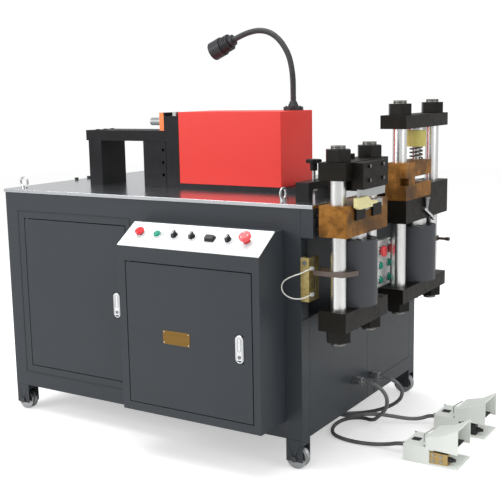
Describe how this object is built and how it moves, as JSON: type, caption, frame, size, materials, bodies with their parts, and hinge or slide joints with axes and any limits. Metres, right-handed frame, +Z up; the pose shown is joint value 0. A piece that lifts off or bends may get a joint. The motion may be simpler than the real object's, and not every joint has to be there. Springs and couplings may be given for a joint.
{
  "type": "busbar processing machine",
  "caption": "Wheeled cabinet with a steel table that carries a hydraulic shear, a punch press and a horizontal bender for flat conductor bar, with a sloped control panel and foot pedals",
  "frame": {"origin": "centre of the bounding box in plan, at floor level under the wheels and pedals", "axes": "+X towards the presses and pedals, +Y from the control box to the back of the cabinet, +Z up"},
  "size_m": [1.744, 1.123, 1.4653],
  "materials": {
    "cabinet_paint": "satin powder coat",
    "panel_paint": "satin powder coat",
    "tank_paint": "satin paint",
    "press_paint": "blackened, oiled",
    "brown_paint": "satin paint",
    "black_paint": "satin",
    "red_paint": "satin powder coat",
    "pedal_paint": "hammered grey",
    "table_steel": "ground and oiled",
    "ground_steel": "ground",
    "tool_steel": "ground",
    "spring_steel": "drawn wire",
    "zinc_plate": "passivated zinc",
    "chrome": "hard chrome",
    "wheel_iron": "turned tread",
    "gear_plastic": "moulded",
    "black_plastic": "moulded",
    "red_plastic": "moulded",
    "green_plastic": "moulded",
    "urethane": "cast polyurethane",
    "tread_rubber": "ribbed",
    "black_cable": "smooth sheath",
    "white_cable": "smooth sheath"
  },
  "bodies": {
    "cabinet": {"cabinet_frame": "cabinet_paint", "cabinet_panels": "cabinet_paint", "cabinet_front": "cabinet_paint", "table_top": "table_steel", "press_beam": "cabinet_paint", "control_box": "cabinet_paint", "control_panel": "panel_paint", "control_gear": "gear_plastic", "power_pack": "tank_paint", "bending_frame": "ground_steel", "bending_cover": "red_paint", "work_lamp": "black_paint", "shear_block": "brown_paint", "punch_block": "press_paint", "press_pistons": "chrome", "hold_down_bridge": "black_paint", "station_box": "panel_paint", "sensor_bracket": "zinc_plate", "lifting_eyes": "tool_steel", "pedal_housings": "pedal_paint", "fasteners": "zinc_plate", "front_pedal_cable": "black_cable", "rear_pedal_cable": "black_cable", "sensor_lead": "white_cable"},
    "shear_frame": {"shear_plates": "press_paint", "shear_columns": "chrome", "shear_cylinder": "press_paint", "shear_blade": "tool_steel"},
    "punch_frame": {"punch_plates": "press_paint", "punch_columns": "chrome", "punch_cylinder": "press_paint", "punch_tool": "tool_steel", "stripper_ring": "urethane", "stripper_spring": "spring_steel"},
    "left_door": {"left_door": "cabinet_paint"},
    "box_door": {"box_door": "cabinet_paint"},
    "left_door_lock": {"left_door_lock": "chrome"},
    "box_door_lock": {"box_door_lock": "chrome"},
    "stop_button": {"stop_button": "red_plastic"},
    "start_button": {"start_button": "green_plastic"},
    "twin_button": {"twin_button": "black_plastic"},
    "emergency_stop": {"emergency_stop": "red_plastic"},
    "selector_left": {"selector_left": "black_plastic"},
    "selector_middle": {"selector_middle": "black_plastic"},
    "selector_right": {"selector_right": "black_plastic"},
    "station_front_red": {"station_front_red": "red_plastic"},
    "station_front_upper_green": {"station_front_upper_green": "green_plastic"},
    "station_front_lower_green": {"station_front_lower_green": "green_plastic"},
    "station_rear_red": {"station_rear_red": "red_plastic"},
    "station_rear_upper_green": {"station_rear_upper_green": "green_plastic"},
    "station_rear_lower_green": {"station_rear_lower_green": "green_plastic"},
    "bending_ram": {"bending_ram": "ground_steel"},
    "hold_down_foot": {"hold_down_foot": "tool_steel"},
    "hold_down_screw": {"hold_down_screw": "tool_steel"},
    "front_treadle": {"front_treadle": "tread_rubber"},
    "rear_treadle": {"rear_treadle": "tread_rubber"},
    "wheel_front_left": {"wheel_front_left": "wheel_iron"},
    "wheel_front_right": {"wheel_front_right": "wheel_iron"},
    "wheel_back_left": {"wheel_back_left": "wheel_iron"},
    "wheel_back_right": {"wheel_back_right": "wheel_iron"}
  },
  "joints": [
    {"name": "left_door_swing", "type": "hinge", "parent": "cabinet", "child": "left_door", "pos_m": [-0.763, -0.3965, 0.48], "axis": [0, 0, -1], "range_deg": [0, 100]},
    {"name": "box_door_swing", "type": "hinge", "parent": "cabinet", "child": "box_door", "pos_m": [-0.145, -0.5505, 0.438], "axis": [0, 0, -1], "range_deg": [0, 100]},
    {"name": "left_door_lock_lift", "type": "hinge", "parent": "left_door", "child": "left_door_lock", "pos_m": [-0.327, -0.4035, 0.447], "axis": [1, 0, 0], "range_deg": [0, 45]},
    {"name": "box_door_lock_lift", "type": "hinge", "parent": "box_door", "child": "box_door_lock", "pos_m": [0.297, -0.5575, 0.403], "axis": [1, 0, 0], "range_deg": [0, 45]},
    {"name": "stop_button_press", "type": "slide", "parent": "cabinet", "child": "stop_button", "axis": [0, 0.5508, -0.8346], "range_m": [0, 0.004], "stiffness_N_per_m": 1500},
    {"name": "start_button_press", "type": "slide", "parent": "cabinet", "child": "start_button", "axis": [0, 0.5508, -0.8346], "range_m": [0, 0.004], "stiffness_N_per_m": 1500},
    {"name": "twin_button_press", "type": "slide", "parent": "cabinet", "child": "twin_button", "axis": [0, 0.5508, -0.8346], "range_m": [0, 0.004], "stiffness_N_per_m": 1500},
    {"name": "emergency_stop_press", "type": "slide", "parent": "cabinet", "child": "emergency_stop", "axis": [0, 0.5508, -0.8346], "range_m": [0, 0.005], "stiffness_N_per_m": 2500},
    {"name": "selector_left_turn", "type": "hinge", "parent": "cabinet", "child": "selector_left", "pos_m": [0.0216, -0.5084, 0.76805], "axis": [0, -0.5508, 0.8346], "range_deg": [-45, 45]},
    {"name": "selector_middle_turn", "type": "hinge", "parent": "cabinet", "child": "selector_middle", "pos_m": [0.0919, -0.5084, 0.76805], "axis": [0, -0.5508, 0.8346], "range_deg": [-45, 45]},
    {"name": "selector_right_turn", "type": "hinge", "parent": "cabinet", "child": "selector_right", "pos_m": [0.2325, -0.5084, 0.76805], "axis": [0, -0.5508, 0.8346], "range_deg": [-45, 45]},
    {"name": "station_front_red_press", "type": "slide", "parent": "cabinet", "child": "station_front_red", "axis": [-1, 0, 0], "range_m": [0, 0.004], "stiffness_N_per_m": 1500},
    {"name": "station_front_upper_green_press", "type": "slide", "parent": "cabinet", "child": "station_front_upper_green", "axis": [-1, 0, 0], "range_m": [0, 0.004], "stiffness_N_per_m": 1200},
    {"name": "station_front_lower_green_press", "type": "slide", "parent": "cabinet", "child": "station_front_lower_green", "axis": [-1, 0, 0], "range_m": [0, 0.004], "stiffness_N_per_m": 1200},
    {"name": "station_rear_red_press", "type": "slide", "parent": "cabinet", "child": "station_rear_red", "axis": [-1, 0, 0], "range_m": [0, 0.004], "stiffness_N_per_m": 1500},
    {"name": "station_rear_upper_green_press", "type": "slide", "parent": "cabinet", "child": "station_rear_upper_green", "axis": [-1, 0, 0], "range_m": [0, 0.004], "stiffness_N_per_m": 1200},
    {"name": "station_rear_lower_green_press", "type": "slide", "parent": "cabinet", "child": "station_rear_lower_green", "axis": [-1, 0, 0], "range_m": [0, 0.004], "stiffness_N_per_m": 1200},
    {"name": "shear_stroke", "type": "slide", "parent": "cabinet", "child": "shear_frame", "axis": [0, 0, -1], "range_m": [0, 0.022]},
    {"name": "punch_stroke", "type": "slide", "parent": "cabinet", "child": "punch_frame", "axis": [0, 0, -1], "range_m": [0, 0.028], "deforming": ["stripper_spring"]},
    {"name": "bending_stroke", "type": "slide", "parent": "cabinet", "child": "bending_ram", "axis": [-1, 0, 0], "range_m": [0, 0.16]},
    {"name": "hold_down_travel", "type": "slide", "parent": "cabinet", "child": "hold_down_foot", "axis": [0, 0, -1], "range_m": [0, 0.02]},
    {"name": "hold_down_turn", "type": "hinge", "parent": "hold_down_foot", "child": "hold_down_screw", "pos_m": [0.399, -0.2465, 0.95], "axis": [0, 0, -1], "range_deg": [0, 2880]},
    {"name": "front_treadle_press", "type": "hinge", "parent": "cabinet", "child": "front_treadle", "pos_m": [0.783, -0.088, 0.062], "axis": [0, 1, 0], "range_deg": [0, 12], "stiffness_Nm_per_rad": 6, "springref_deg": -4},
    {"name": "rear_treadle_press", "type": "hinge", "parent": "cabinet", "child": "rear_treadle", "pos_m": [0.774, 0.225, 0.062], "axis": [0, 1, 0], "range_deg": [0, 12], "stiffness_Nm_per_rad": 6, "springref_deg": -4},
    {"name": "wheel_front_left_roll", "type": "hinge", "parent": "cabinet", "child": "wheel_front_left", "pos_m": [-0.834, -0.3775, 0.038], "axis": [0, 1, 0], "continuous": true},
    {"name": "wheel_front_right_roll", "type": "hinge", "parent": "cabinet", "child": "wheel_front_right", "pos_m": [0.404, -0.3775, 0.038], "axis": [0, 1, 0], "continuous": true},
    {"name": "wheel_back_left_roll", "type": "hinge", "parent": "cabinet", "child": "wheel_back_left", "pos_m": [-0.834, 0.5285, 0.038], "axis": [0, 1, 0], "continuous": true},
    {"name": "wheel_back_right_roll", "type": "hinge", "parent": "cabinet", "child": "wheel_back_right", "pos_m": [0.404, 0.5285, 0.038], "axis": [0, 1, 0], "continuous": true}
  ],
  "couplings": [
    {"joint": "hold_down_travel", "follows": "hold_down_turn", "m_per_rad": 0.00039789}
  ]
}
